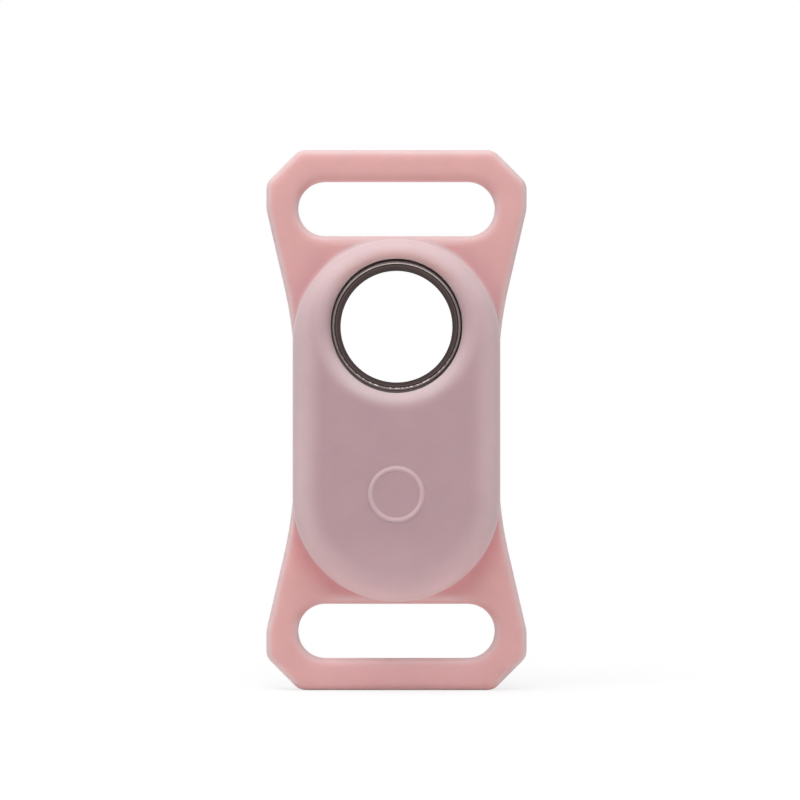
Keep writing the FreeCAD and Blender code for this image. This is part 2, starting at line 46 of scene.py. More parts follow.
# Places and sizes of the moulded sleeve, in metres, as in the solids
FRAME_HALF_WIDTH = 20.05 * MM
FRAME_HALF_LENGTH = 41.55 * MM
FRAME_FRONT = -3.4 * MM
FRAME_EDGE = 1.5 * MM
SLOT_HALF_WIDTH = 15.1 * MM
SLOT_HALF_HEIGHT = 4.15 * MM
SLOT_Z = 32.45 * MM
POD_HALF_WIDTH = 15.85 * MM
POD_HALF_STRAIGHT = 11.8 * MM
POD_FRONT = -11.1 * MM
POD_EDGE = 3.95 * MM
CAVITY_HALF_WIDTH = 14.5 * MM
CAVITY_FRONT = -9.4 * MM
CAVITY_BACK = -1.2 * MM
CAVITY_EDGE = 2.6 * MM
REAR_OPENING_HALF_WIDTH = 12.9 * MM
RING_Z = 14.35 * MM
BUTTON_Z = -11.2 * MM
BUTTON_HOLE = 4.43 * MM
BEAD_RADIUS = 3.92 * MM
CELL_Z = -11.9 * MM

# How close two points are that count as level, as one point, or as at a drawn corner
LEVEL = 0.001 * MM
DOUBLE = 0.002 * MM
AT_CORNER = 0.01 * MM


# Ways of working in edit mode

def take(piece):
    """Makes one piece the selected and active one."""
    bpy.ops.object.select_all(action="DESELECT")
    piece.select_set(True)
    bpy.context.view_layer.objects.active = piece


def named(name):
    """Gives the piece that was just added its name."""
    piece = bpy.context.object
    piece.name = name
    piece.data.name = name
    return piece


def nothing_selected(piece, kind):
    """Leaves nothing of a piece selected, ready to select points or edges by their place."""
    take(piece)
    bpy.ops.object.mode_set(mode="EDIT")
    bpy.ops.mesh.select_mode(type=kind)
    bpy.ops.mesh.select_all(action="DESELECT")
    bpy.ops.object.mode_set(mode="OBJECT")


def edges_where(piece, wanted):
    """Goes into edit mode with the edges selected whose two ends are as wanted."""
    nothing_selected(piece, "EDGE")
    ends = [vertex.co.copy() for vertex in piece.data.vertices]
    for edge in piece.data.edges:
        edge.select = wanted(ends[edge.vertices[0]], ends[edge.vertices[1]])
    bpy.ops.object.mode_set(mode="EDIT")


def points_where(piece, wanted):
    """Goes into edit mode with the points selected that lie as wanted."""
    nothing_selected(piece, "VERT")
    for vertex in piece.data.vertices:
        vertex.select = wanted(vertex.co)
    bpy.ops.object.mode_set(mode="EDIT")


def leave_edit():
    bpy.ops.object.mode_set(mode="OBJECT")


def tidy_faces():
    """Merges doubles and turns all faces outward, in edit mode."""
    bpy.ops.mesh.select_all(action="SELECT")
    bpy.ops.mesh.remove_doubles(threshold=DOUBLE)
    bpy.ops.mesh.normals_make_consistent(inside=False)


def on_level(y):
    """Finds the edges that lie at one depth."""
    return lambda a, b: abs(a.y - y) < LEVEL and abs(b.y - y) < LEVEL


def along_depth(a, b):
    return abs(a.x - b.x) < LEVEL and abs(a.z - b.z) < LEVEL


def rounded_block(name, half_width, low_z, high_z, front, back, corner, steps):
    """A block with the four edges that run front to back rounded off."""
    middle = (0, (front + back) / 2, (low_z + high_z) / 2)
    size = (half_width * 2, back - front, high_z - low_z)
    bpy.ops.object.select_all(action="DESELECT")
    bpy.ops.mesh.primitive_cube_add(size=1, location=middle, scale=size)
    block = named(name)
    bpy.ops.object.transform_apply(location=True, rotation=True, scale=True)
    edges_where(block, along_depth)
    bpy.ops.mesh.bevel(offset=corner, segments=steps, profile=0.5, affect="EDGES", clamp_overlap=False)
    tidy_faces()
    leave_edit()
    return block


def round_rim(piece, y, radius, steps):
    """Rounds the edge all round one end of a block."""
    edges_where(piece, on_level(y))
    bpy.ops.mesh.bevel(offset=radius, segments=steps, profile=0.5, affect="EDGES", clamp_overlap=False)
    tidy_faces()
    leave_edit()


def cut_with(piece, cutter, operation):
    """Joins a piece with another or cuts it by one, which is used up."""
    take(piece)
    boolean = piece.modifiers.new("cut", "BOOLEAN")
    boolean.operation = operation
    boolean.solver = "EXACT"
    boolean.object = cutter
    bpy.ops.object.modifier_apply(modifier=boolean.name)
    bpy.data.objects.remove(cutter)


def drawn_point(name, x, y, z):
    """One loose point to draw an outline from, left in edit mode."""
    bpy.ops.object.select_all(action="DESELECT")
    bpy.ops.mesh.primitive_plane_add(size=MM)
    piece = named(name)
    bpy.ops.object.mode_set(mode="EDIT")
    bpy.ops.mesh.select_mode(type="VERT")
    bpy.ops.mesh.select_all(action="SELECT")
    bpy.ops.mesh.merge(type="CENTER")
    bpy.ops.transform.translate(value=(x, y, z))
    return piece


def draw_by(x, y, z):
    """Draws a straight run from what is selected."""
    bpy.ops.mesh.extrude_region_move(TRANSFORM_OT_translate={"value": (x, y, z)})


def lathe(name, centre_z, profile, steps):
    """Turns a profile of radius and depth round an axis that runs front to back."""
    radius, depth = profile[0]
    piece = drawn_point(name, radius, depth, centre_z)
    for next_radius, next_depth in profile[1:]:
        draw_by(next_radius - radius, next_depth - depth, 0)
        radius, depth = next_radius, next_depth
    bpy.ops.mesh.select_all(action="SELECT")
    bpy.ops.mesh.spin(steps=steps, angle=math.tau, center=(0, 0, centre_z), axis=(0, 1, 0))
    tidy_faces()
    leave_edit()
    return piece


def finish_at_origin(piece):
    take(piece)
    bpy.ops.object.transform_apply(location=True, rotation=True, scale=True)
    bpy.ops.object.shade_smooth_by_angle(angle=math.radians(40))


# The sleeve: plate with flared flanks and slots, raised pod, window and cavity

def at_corner(x, z):
    """Finds the edges that run front to back at a corner of the plate and at its mirrored places."""
    def wanted(a, b):
        near_corner = abs(abs(a.x) - x) < AT_CORNER and abs(abs(a.z) - z) < AT_CORNER
        return along_depth(a, b) and near_corner

    return wanted


def flared_plate():
    """The plate's outline is drawn for one quarter, mirrored twice, filled and pulled to its thickness."""
    waist_x, waist_z = 15.75 * MM, 7.0 * MM
    flank_radius = 60.0 * MM
    flare_z, side_z, top_x = 32.4 * MM, 36.45 * MM, 14.95 * MM
    centre = Vector((waist_x + flank_radius, 0, waist_z))
    away = Vector((FRAME_HALF_WIDTH, 0, flare_z)) - centre
    heading = math.atan2(away.z, away.x) + math.acos(flank_radius / away.length)
    plate = drawn_point("sleeve_skin", waist_x, 0, 0)
    draw_by(0, 0, waist_z)
    bpy.ops.mesh.spin(steps=16, angle=heading - math.pi, center=centre, axis=(0, 1, 0))
    reached = centre + Vector((math.cos(heading), 0, math.sin(heading))) * flank_radius
    corners = ((FRAME_HALF_WIDTH, flare_z), (FRAME_HALF_WIDTH, side_z), (top_x, FRAME_HALF_LENGTH))
    for x, z in corners + ((0, FRAME_HALF_LENGTH),):
        corner = Vector((x, 0, z))
        draw_by(*(corner - reached))
        reached = corner
    leave_edit()
    take(plate)
    mirror = plate.modifiers.new("quarters", "MIRROR")
    mirror.use_axis = (True, False, True)
    mirror.merge_threshold = DOUBLE
    bpy.ops.object.transform_apply(location=True, rotation=True, scale=True)
    bpy.ops.object.modifier_apply(modifier=mirror.name)
    bpy.ops.object.mode_set(mode="EDIT")
    bpy.ops.mesh.select_all(action="SELECT")
    bpy.ops.mesh.edge_face_add()
    draw_by(0, FRAME_FRONT, 0)
    tidy_faces()
    leave_edit()
    for (x, z), offset in zip(corners, (0.34 * MM, 0.75 * MM, 0.75 * MM)):
        edges_where(plate, at_corner(x, z))
        bpy.ops.mesh.bevel(offset=offset, segments=6, profile=0.5, affect="EDGES")
        leave_edit()
    nothing_selected(plate, "EDGE")
    bpy.ops.object.mode_set(mode="EDIT")
    bpy.ops.mesh.edges_select_sharp(sharpness=math.radians(60))
    bpy.ops.mesh.bevel(offset=FRAME_EDGE, segments=8, profile=0.5, affect="EDGES", clamp_overlap=False)
    tidy_faces()
    leave_edit()
    for middle in (SLOT_Z, -SLOT_Z):
        cut_with(plate, slot_cutter(middle), "DIFFERENCE")
    return plate


def slot_cutter(middle):
    """A long round-ended block that flares at both ends, to roll the slot's edges over."""
    roll_steps = 8
    end_radius = SLOT_HALF_HEIGHT - 0.02 * MM
    low_z, high_z = middle - SLOT_HALF_HEIGHT, middle + SLOT_HALF_HEIGHT
    land_front, land_back = FRAME_FRONT + FRAME_EDGE, -FRAME_EDGE
    cutter = rounded_block(
        "slot_cutter", SLOT_HALF_WIDTH, low_z, high_z, land_front, land_back, corner=end_radius, steps=20,
    )
    for land, way in ((land_front, -1), (land_back, 1)):
        level, radius = land, end_radius
        for step in range(1, roll_steps + 1):
            turn = math.pi / 2 * step / roll_steps
            next_level = land + way * (math.sin(turn) * FRAME_EDGE - 0.01 * MM)
            next_radius = end_radius + (1 - math.cos(turn)) * FRAME_EDGE
            points_where(cutter, lambda point: abs(point.y - level) < LEVEL)
            draw_by(0, next_level - level, 0)
            leave_edit()
            grow = next_radius / radius
            for side in (-1, 1):
                hub = (side * (SLOT_HALF_WIDTH - end_radius), next_level, middle)
                points_where(cutter, lambda point: abs(point.y - next_level) < LEVEL and point.x * side > 0)
                bpy.ops.transform.resize(value=(grow, 1, grow), center_override=hub)
                leave_edit()
            level, radius = next_level, next_radius
        points_where(cutter, lambda point: abs(point.y - level) < LEVEL)
        draw_by(0, way * 3 * MM, 0)
        tidy_faces()
        leave_edit()
    return cutter


def oval_block(name, half_width, front, back):
    """A block on the tag's long oval."""
    half_length = POD_HALF_STRAIGHT + half_width
    corner = half_width - 0.0001 * MM
    return rounded_block(name, half_width, -half_length, half_length, front, back, corner, 48)


def window_cutter():
    """A trumpet whose flare rolls the window's edge over."""
    inner, roll, roll_steps = 9.8 * MM, 1.85 * MM, 12
    front, lip, back = POD_FRONT - 2 * MM, POD_FRONT + 0.01 * MM, -8 * MM
    profile = [(0, front), (inner + roll, front)]
    for step in range(roll_steps + 1):
        turn = math.pi / 2 * step / roll_steps
        profile.append((inner + roll - math.sin(turn) * roll, lip + roll - math.cos(turn) * roll))
    profile += [(inner, back), (0, back)]
    return lathe("window_cutter", RING_Z, profile, 128)


def core_profile(radius):
    """The profile of a plain core that reaches through the pod's front wall."""
    front, back = -13 * MM, -8 * MM
    return [(0, front), (radius, front), (radius, back), (0, back)]


def window_edge_cutter():
    """A plain core, a little taller than wide, that leaves the window with a clean edge."""
    cutter = lathe("window_edge_cutter", RING_Z, core_profile(10.09 * MM), 160)
    points_where(cutter, lambda point: True)
    bpy.ops.transform.resize(value=(0.992, 1, 1.012), center_override=(0, POD_FRONT, RING_Z))
    leave_edit()
    return cutter


def on_window_roll(point):
    return point.y < -9.75 * MM and math.hypot(point.x, point.z - RING_Z) < 13.2 * MM


def round_the_button(point):
    return point.y < POD_FRONT + 0.2 * MM and math.hypot(point.x, point.z - BUTTON_Z) < 6.5 * MM


def soften(skin):
    """Remeshes the moulding and smooths it, most of all where the window's edge rolls over."""
    take(skin)
    remesh = skin.modifiers.new("soft", "REMESH")
    remesh.mode = "VOXEL"
    remesh.voxel_size = 0.31 * MM
    bpy.ops.object.modifier_apply(modifier=remesh.name)
    bpy.ops.object.mode_set(mode="EDIT")
    bpy.ops.mesh.select_all(action="SELECT")
    bpy.ops.mesh.vertices_smooth(factor=0.5, repeat=4)
    leave_edit()
    points_where(skin, on_window_roll)
    bpy.ops.mesh.vertices_smooth(factor=0.5, repeat=14)
    leave_edit()


def sleeve():
    """The whole moulding. It is softened first, and the button's hole and the window are cut clean after."""
    skin = flared_plate()
    pod = oval_block("pod", POD_HALF_WIDTH, POD_FRONT, 0)
    round_rim(pod, POD_FRONT, POD_EDGE, 16)
    round_rim(pod, 0, FRAME_EDGE, 8)
    cut_with(skin, pod, "UNION")
    cavity = oval_block("cavity", CAVITY_HALF_WIDTH, CAVITY_FRONT, CAVITY_BACK)
    for level in (CAVITY_FRONT, CAVITY_BACK):
        round_rim(cavity, level, CAVITY_EDGE, 8)
    cut_with(skin, cavity, "DIFFERENCE")
    rear_opening = oval_block("rear_opening", REAR_OPENING_HALF_WIDTH, -4 * MM, 3 * MM)
    cut_with(skin, rear_opening, "DIFFERENCE")
    cut_with(skin, window_cutter(), "DIFFERENCE")
    soften(skin)
    points_where(skin, round_the_button)
    bpy.ops.transform.resize(value=(1, 0, 1), center_override=(0, POD_FRONT, BUTTON_Z))
    leave_edit()
    cut_with(skin, lathe("button_hole", BUTTON_Z, core_profile(BUTTON_HOLE), 128), "DIFFERENCE")
    cut_with(skin, window_edge_cutter(), "DIFFERENCE")
    finish_at_origin(skin)
    return skin


def button():
    """The button's disc: a bead with soft feet in front, and the pip that reaches the key behind."""
    bead_half, bead_height, half_steps = 0.49 * MM, 0.24 * MM, 8
    rim, pip = BUTTON_HOLE - 0.01 * MM, 2.6 * MM
    disc_back, pip_back = -10.2 * MM, -9.35 * MM
    profile = [(0, POD_FRONT)]
    for step in range(2 * half_steps + 1):
        across = step / half_steps - 1
        rise = bead_height * math.cos(across * math.pi / 2) ** 2
        profile.append((BEAD_RADIUS + across * bead_half, POD_FRONT - rise))
    profile += [(rim, POD_FRONT), (rim, disc_back), (pip, disc_back), (pip, pip_back), (0, pip_back)]
    disc = lathe("button_skin", BUTTON_Z, profile, 128)
    finish_at_origin(disc)
    return disc


sleeve_skin = sleeve()
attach(sleeve_skin, "sleeve")
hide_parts("silicone_sleeve", "rear_lip")
button_skin = button()
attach(button_skin, "membrane")
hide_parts("button_membrane")


# Ways of laying out a finish

def new_material(name):
    material = bpy.data.materials.new(name)
    material.use_nodes = True
    tree = material.node_tree
    return material, tree, tree.nodes["Principled BSDF"]


def put_on(material, *pieces):
    for piece in pieces:
        piece.data.materials.clear()
        piece.data.materials.append(material)


def feed(tree, value, socket):
    """Links an output to a socket, or sets a plain number or colour on it."""
    if isinstance(value, bpy.types.NodeSocket):
        tree.links.new(value, socket)
    else:
        socket.default_value = value


def sum_of(tree, operation, *values):
    """One step of arithmetic on sockets and numbers."""
    node = tree.nodes.new("ShaderNodeMath")
    node.operation = operation
    for value, socket in zip(values, node.inputs):
        feed(tree, value, socket)
    return node.outputs[0]


def all_of(tree, first, *others):
    """Shares multiplied, so that the result is high only where all of them are."""
    share = first
    for other in others:
        share = sum_of(tree, "MULTIPLY", share, other)
    return share


def distance_to(tree, value, level):
    return sum_of(tree, "ABSOLUTE", sum_of(tree, "SUBTRACT", value, level))


def length_of(tree, one, other):
    """The long side of a right-angled triangle that has these two sides."""
    square = sum_of(tree, "MULTIPLY_ADD", one, one, sum_of(tree, "MULTIPLY", other, other))
    return sum_of(tree, "SQRT", square)


def radius_round(tree, x, z, centre_z):
    """Distance from an axis that runs front to back."""
    return length_of(tree, x, sum_of(tree, "SUBTRACT", z, centre_z))


def ramp(tree, value, start, end, low=0.0, high=1.0):
    """A soft step from low at start to high at end."""
    node = tree.nodes.new("ShaderNodeMapRange")
    node.interpolation_type = "SMOOTHSTEP"
    for number, name in ((start, "From Min"), (end, "From Max"), (low, "To Min"), (high, "To Max")):
        node.inputs[name].default_value = number
    feed(tree, value, node.inputs["Value"])
    return node.outputs["Result"]


def ramp_mm(tree, value, start, end, low=0.0, high=1.0):
    """A soft step over a length, with start and end in millimetres."""
    return ramp(tree, value, start * MM, end * MM, low, high)


def blend_colours(tree, share, one, other, kind="MIX"):
    node = tree.nodes.new("ShaderNodeMix")
    node.data_type = "RGBA"
    node.blend_type = kind
    feed(tree, share, node.inputs["Factor"])
    for value, name in ((one, "A"), (other, "B")):
        socket = [s for s in node.inputs if s.name == name and s.type == "RGBA"][0]
        feed(tree, value, socket)
    return [s for s in node.outputs if s.type == "RGBA"][0]


def place_on(tree):
    """Object coordinates."""
    return tree.nodes.new("ShaderNodeTexCoord").outputs["Object"]


def parts_of(tree, place):
    """A place as its x, y and z."""
    node = tree.nodes.new("ShaderNodeSeparateXYZ")
    tree.links.new(place, node.inputs[0])
    return node.outputs[0], node.outputs[1], node.outputs[2]


def noise(tree, place, scale, detail=2.0, roughness=0.5):
    node = tree.nodes.new("ShaderNodeTexNoise")
    node.inputs["Detail"].default_value = detail
    node.inputs["Roughness"].default_value = roughness
    feed(tree, scale, node.inputs["Scale"])
    tree.links.new(place, node.inputs["Vector"])
    return node.outputs[0]


def stretched(tree, place, x, y, z):
    node = tree.nodes.new("ShaderNodeMapping")
    node.inputs["Scale"].default_value = (x, y, z)
    tree.links.new(place, node.inputs["Vector"])
    return node.outputs[0]


def bump(tree, height, strength, depth):
    node = tree.nodes.new("ShaderNodeBump")
    node.inputs["Strength"].default_value = strength
    node.inputs["Distance"].default_value = depth
    tree.links.new(height, node.inputs["Height"])
    return node.outputs["Normal"]


def dress(tree, shader, colour, roughness, normal):
    """Links what changes over the surface to the shader."""
    for value, name in ((colour, "Base Color"), (roughness, "Roughness"), (normal, "Normal")):
        tree.links.new(value, shader.inputs[name])


def set_plain(shader, values):
    """Sets what is the same all over the surface on the shader's own sockets."""
    for name, value in values.items():
        shader.inputs[name].default_value = value


def new_group(name, numbers, outputs):
    """An empty shader group that takes a place and some numbers, and puts out numbers."""
    group = bpy.data.node_groups.new(name, "ShaderNodeTree")
    group.interface.new_socket("Place", in_out="INPUT", socket_type="NodeSocketVector")
    for label, usual in numbers.items():
        socket = group.interface.new_socket(label, in_out="INPUT", socket_type="NodeSocketFloat")
        socket.default_value = usual
    for label in outputs:
        group.interface.new_socket(label, in_out="OUTPUT", socket_type="NodeSocketFloat")
    return group, group.nodes.new("NodeGroupInput"), group.nodes.new("NodeGroupOutput")


def use_group(tree, group, **values):
    node = tree.nodes.new("ShaderNodeGroup")
    node.node_tree = group
    for label, value in values.items():
        feed(tree, value, node.inputs[label])
    return node.outputs


# Effects that several finishes share

def fine_grain_group():
    """The fine grain of a moulded or rolled surface, with slow mottling under it."""
    group, come, go = new_group("fine_grain", {"Grain": 6000.0, "Mottle": 160.0}, ["Grain", "Mottle"])
    grain = noise(group, come.outputs["Place"], come.outputs["Grain"], 3.0, 0.6)
    mottle = noise(group, come.outputs["Place"], come.outputs["Mottle"], 3.0, 0.55)
    group.links.new(grain, go.inputs["Grain"])
    group.links.new(ramp(group, mottle, 0.3, 0.7), go.inputs["Mottle"])
    return group


def turned_lines_group():
    """Distance from a turning axis, and the fine rings that turning or pressing leaves round it."""
    group, come, go = new_group("turned_lines", {"Height": 0.0, "Rings": 9000.0}, ["Radius", "Lines"])
    x, _, z = parts_of(group, come.outputs["Place"])
    radius = radius_round(group, x, z, come.outputs["Height"])
    waver = sum_of(group, "MULTIPLY", noise(group, come.outputs["Place"], 420.0), 5.0)
    turn = sum_of(group, "MULTIPLY_ADD", radius, come.outputs["Rings"], waver)
    lines = sum_of(group, "MULTIPLY_ADD", sum_of(group, "SINE", turn), 0.5, 0.5)
    group.links.new(radius, go.inputs["Radius"])
    group.links.new(lines, go.inputs["Lines"])
    return group


def drawn_scratches_group():
    """Fine scratches along the length of a sheet-metal piece, and broader dull patches."""
    group, come, go = new_group("drawn_scratches", {"Fineness": 2600.0}, ["Scratches", "Dulling"])
    along = stretched(group, come.outputs["Place"], 1.0, 1.0, 0.05)
    scratches = noise(group, along, come.outputs["Fineness"], 4.0, 0.65)
    dulling = noise(group, come.outputs["Place"], 300.0, 3.0, 0.6)
    group.links.new(ramp(group, scratches, 0.35, 0.68), go.inputs["Scratches"])
    group.links.new(ramp(group, dulling, 0.4, 0.65), go.inputs["Dulling"])
    return group


fine_grain = fine_grain_group()
turned_lines = turned_lines_group()
drawn_scratches = drawn_scratches_group()


# The silicone and its tints, painted light and shade among them

FRAME_PINK = (0.675, 0.366, 0.358, 1)
# Painted light: the bottom bar is paler where the pod's shadow falls on it.
LOW_BAR_LIT_PINK = (0.73, 0.41, 0.41, 1)
# Painted shade: redder and darker in the creases below and above the pod.
LOWER_CREASE_SHADE_PINK = (0.67, 0.315, 0.322, 1)
UPPER_CREASE_SHADE_PINK = (0.605, 0.326, 0.342, 1)
# Painted sheen: the edges that face the light are paler, and paler still on the bottom bar, where they are
# lifted out of shade.
EDGE_SHEEN_PINK = (0.70, 0.50, 0.50, 1)
LOW_EDGE_SHEEN_PINK = (0.82, 0.56, 0.57, 1)
FLANK_PINK = (0.585, 0.425, 0.44, 1)
# Painted light on the pod's upper and lower flanks.
UPPER_FLANK_LIT_PINK = (0.635, 0.475, 0.49, 1)
LOWER_FLANK_BOUNCE_PINK = (0.63, 0.42, 0.435, 1)
TAG_MAUVE = (0.432, 0.283, 0.306, 1)
# Painted light: the mauve is lifted at the pod's lower end, where its front turns down from the light.
LOW_TAG_LIT_MAUVE = (0.475, 0.313, 0.338, 1)
# Painted highlight on the window's roll below the ring, and painted shade on it above the ring.
LOWER_ROLL_HIGHLIGHT_PINK = (0.61, 0.485, 0.50, 1)
UPPER_ROLL_SHADE_PINK = (0.54, 0.325, 0.31, 1)
# The bead's crest is paler: partly its thicker silicone, partly a painted highlight.
BEAD_THICK_AND_HIGHLIGHT_PINK = (0.55, 0.388, 0.412, 1)


def sleeve_measures(tree, place):
    """The measures by which the tints are laid out. The spine is the pod's straight middle line."""
    x, y, z = parts_of(tree, place)
    across = sum_of(tree, "ABSOLUTE", x)
    along = sum_of(tree, "ABSOLUTE", z)
    past_end = sum_of(tree, "MAXIMUM", sum_of(tree, "SUBTRACT", along, POD_HALF_STRAIGHT), 0.0)
    return SimpleNamespace(
        x=x,
        y=y,
        z=z,
        across=across,
        along=along,
        from_spine=length_of(tree, x, past_end),
        off_side_middle=distance_to(tree, y, FRAME_FRONT / 2),
        in_front=ramp_mm(tree, y, -2.6, -3.2),
        off_centre=ramp_mm(tree, across, 8.5, 12.5),
    )


def edge_sheen_share(tree, spot):
    """Where a painted sheen pales the frame: along its sides, apart from those that face down into shade, and
    on the slots' edges by the pod.
    """
    lit = ramp_mm(tree, spot.z, -40.9, -40.2)
    for middle in (SLOT_Z, -SLOT_Z):
        rise = sum_of(tree, "SUBTRACT", spot.z, middle)
        in_slot = ramp_mm(tree, spot.across, 17, 15.5)
        ceiling = all_of(tree, ramp_mm(tree, rise, 0.5, 3.0), ramp_mm(tree, rise, 6.2, 5.6), in_slot)
        lit = sum_of(tree, "MINIMUM", lit, sum_of(tree, "SUBTRACT", 1.0, ceiling))
    on_side = all_of(tree, ramp_mm(tree, spot.off_side_middle, 1.695, 1.25), lit)
    by_slot = all_of(tree, ramp_mm(tree, spot.along, 26.4, 27.6), ramp_mm(tree, spot.along, 29.5, 28.5))
    by_pod = all_of(tree, by_slot, ramp_mm(tree, spot.across, 13, 8, 0.0, 0.7), spot.in_front)
    return sum_of(tree, "MAXIMUM", on_side, by_pod)


def frame_tint(tree, spot):
    """Pink, with painted shade redder in the creases beside the pod, painted light on the bottom bar, and a
    painted sheen paler along the edges.
    """
    low_bar = all_of(tree, ramp_mm(tree, spot.z, -34, -37), ramp_mm(tree, spot.across, 17, 9))
    below_pod = all_of(tree, ramp_mm(tree, spot.from_spine, 20, 16), ramp_mm(tree, spot.z, -8, -17))
    above_pod = all_of(tree, ramp_mm(tree, spot.from_spine, 20, 16.2), ramp_mm(tree, spot.z, 6, 14))
    # Painted shade in the creases where the pod's foot meets the frame.
    lower_crease_shade = all_of(tree, below_pod, spot.in_front)
    upper_crease_shade = all_of(tree, above_pod, spot.off_centre, spot.in_front)
    # Painted light: the bottom bar is lifted against the pod's shadow.
    colour = blend_colours(tree, low_bar, FRAME_PINK, LOW_BAR_LIT_PINK)
    colour = blend_colours(tree, lower_crease_shade, colour, LOWER_CREASE_SHADE_PINK)
    colour = blend_colours(tree, upper_crease_shade, colour, UPPER_CREASE_SHADE_PINK)
    # Painted sheen on the lit edges.
    edge_sheen_colour = blend_colours(tree, low_bar, EDGE_SHEEN_PINK, LOW_EDGE_SHEEN_PINK)
    return blend_colours(tree, edge_sheen_share(tree, spot), colour, edge_sheen_colour)


def pod_share(tree, spot):
    """One on the pod, and on its foot round the upper end, where the pod's pale colour is carried onto the
    frame as a painted highlight.
    """
    foot = sum_of(tree, "MULTIPLY_ADD", spot.off_centre, 0.4 * MM, spot.from_spine)
    upper_end = all_of(tree, ramp_mm(tree, foot, 16.85, 16.2), ramp_mm(tree, spot.z, 8, 16))
    low_or_top = sum_of(tree, "MAXIMUM", ramp_mm(tree, spot.y, -4.5, -3.7), ramp_mm(tree, spot.z, 17, 22))
    foot_highlight = all_of(tree, upper_end, spot.in_front, low_or_top)
    return sum_of(tree, "MAXIMUM", ramp_mm(tree, spot.y, -3.5, -8.0), foot_highlight)


def flank_tint(tree, spot):
    """The pod's thick flanks, with painted light: paler at the top where the light from above falls, and
    paler and warmer at the bottom for light thrown up from the floor.
    """
    colour = blend_colours(tree, ramp_mm(tree, spot.z, 16, 25), FLANK_PINK, UPPER_FLANK_LIT_PINK)
    return blend_colours(tree, ramp_mm(tree, spot.z, -13, -23), colour, LOWER_FLANK_BOUNCE_PINK)


def front_tint(tree, spot, colour):
    """Mauve where the dark tag shows through the thin front, lifted by painted light at its lower end; the
    window's roll has a painted highlight below and painted shade above, and the bead's crest is paler from
    its thicker silicone and a painted highlight.
    """
    from_window = radius_round(tree, spot.x, spot.z, RING_Z)
    over_tag = all_of(tree, ramp_mm(tree, spot.from_spine, 15.1, 10.8), ramp_mm(tree, spot.y, -8.0, -10.2))
    at_sides = ramp_mm(tree, spot.across, 5, 10, 0.0, 0.6)
    past_roll = sum_of(tree, "MAXIMUM", ramp_mm(tree, from_window, 10.7, 13.3), at_sides)
    # Painted light lifts the mauve towards the pod's lower end.
    mauve = blend_colours(tree, ramp_mm(tree, spot.z, -16, -23), TAG_MAUVE, LOW_TAG_LIT_MAUVE)
    colour = blend_colours(tree, all_of(tree, over_tag, past_roll), colour, mauve)
    on_roll = all_of(tree, ramp_mm(tree, from_window, 12.4, 10.6), ramp_mm(tree, spot.y, -9.4, -9.8))
    # Painted highlight on the roll below the ring, painted shade above it.
    lower_roll_highlight = all_of(tree, on_roll, ramp_mm(tree, spot.z, 16, 5, 0.0, 0.9))
    upper_roll_shade = all_of(tree, on_roll, ramp_mm(tree, spot.z, 18, 23, 0.0, 0.8))
    colour = blend_colours(tree, lower_roll_highlight, colour, LOWER_ROLL_HIGHLIGHT_PINK)
    colour = blend_colours(tree, upper_roll_shade, colour, UPPER_ROLL_SHADE_PINK)
    # Paler bead crest: thicker silicone and a painted highlight.
    off_crest = distance_to(tree, radius_round(tree, spot.x, spot.z, BUTTON_Z), BEAD_RADIUS)
    on_bead = all_of(tree, ramp_mm(tree, off_crest, 0.6, 0.15), ramp_mm(tree, spot.y, -11.06, -11.15))
    return blend_colours(tree, on_bead, colour, BEAD_THICK_AND_HIGHLIGHT_PINK)


def pink_silicone():
    """The tints above, painted light and shade among them, with a fine grain, slow mottling and a faint
    parting line along the sides.
    """
    material, tree, shader = new_material("pink_silicone")
    place = place_on(tree)
    spot = sleeve_measures(tree, place)
    grain = use_group(tree, fine_grain, Place=place, Grain=7000.0, Mottle=170.0)
    colour = blend_colours(tree, pod_share(tree, spot), frame_tint(tree, spot), flank_tint(tree, spot))
    colour = front_tint(tree, spot, colour)
    mottled = sum_of(tree, "MULTIPLY_ADD", grain["Mottle"], 0.05, 0.96)
    tone = sum_of(tree, "MULTIPLY", mottled, ramp(tree, grain["Grain"], 0.2, 0.8, 0.97, 1.03))
    shade = tree.nodes.new("ShaderNodeCombineColor")
    for socket in shade.inputs:
        tree.links.new(tone, socket)
    colour = blend_colours(tree, 1.0, colour, shade.outputs[0], "MULTIPLY")
    rough = sum_of(tree, "MULTIPLY_ADD", grain["Mottle"], 0.08, 0.52)
    rough = sum_of(tree, "MULTIPLY_ADD", grain["Grain"], 0.1, rough)
    parting_line = ramp_mm(tree, spot.off_side_middle, 0.12, 0.02, 0.0, 1.6)
    height = sum_of(tree, "ADD", grain["Grain"], parting_line)
    dress(tree, shader, colour, rough, bump(tree, height, 0.12, 0.03 * MM))
    set_plain(shader, {
        "Subsurface Weight": 0.22,
        "Subsurface Radius": (1.0, 0.45, 0.4),
        "Subsurface Scale": 1.2 * MM,
        "Specular IOR Level": 0.5,
        "Sheen Weight": 0.28,
        "Sheen Roughness": 0.35,
        "Sheen Tint": (1.0, 0.93, 0.94, 1),
    })
    return material


# The tag's finishes

CONE_BROWN = (0.088, 0.064, 0.063, 1)
LAND_BROWN = (0.15, 0.115, 0.115, 1)
# Painted light: the flange's outer chamfer is lighter, against the dark silicone wall it mirrors.
RIM_LIT_BROWN = (0.34, 0.26, 0.26, 1)
BORE_BROWN = (0.06, 0.048, 0.047, 1)
STREAK_BROWN = (0.15, 0.112, 0.108, 1)
# Painted shade: a black line in the step between the land and the cone.
STEP_SHADE_BLACK = (0.012, 0.010, 0.010, 1)
# Painted highlight: the bright line and glints on the land's inner edge, brightest at the bottom.
EDGE_HIGHLIGHT_METAL = (0.66, 0.60, 0.57, 1)
LOW_EDGE_HIGHLIGHT_METAL = (0.95, 0.89, 0.86, 1)
# Painted light on the front shell's rim round the ring.
SEAT_LIGHT_PLASTIC = (0.155, 0.124, 0.123, 1)


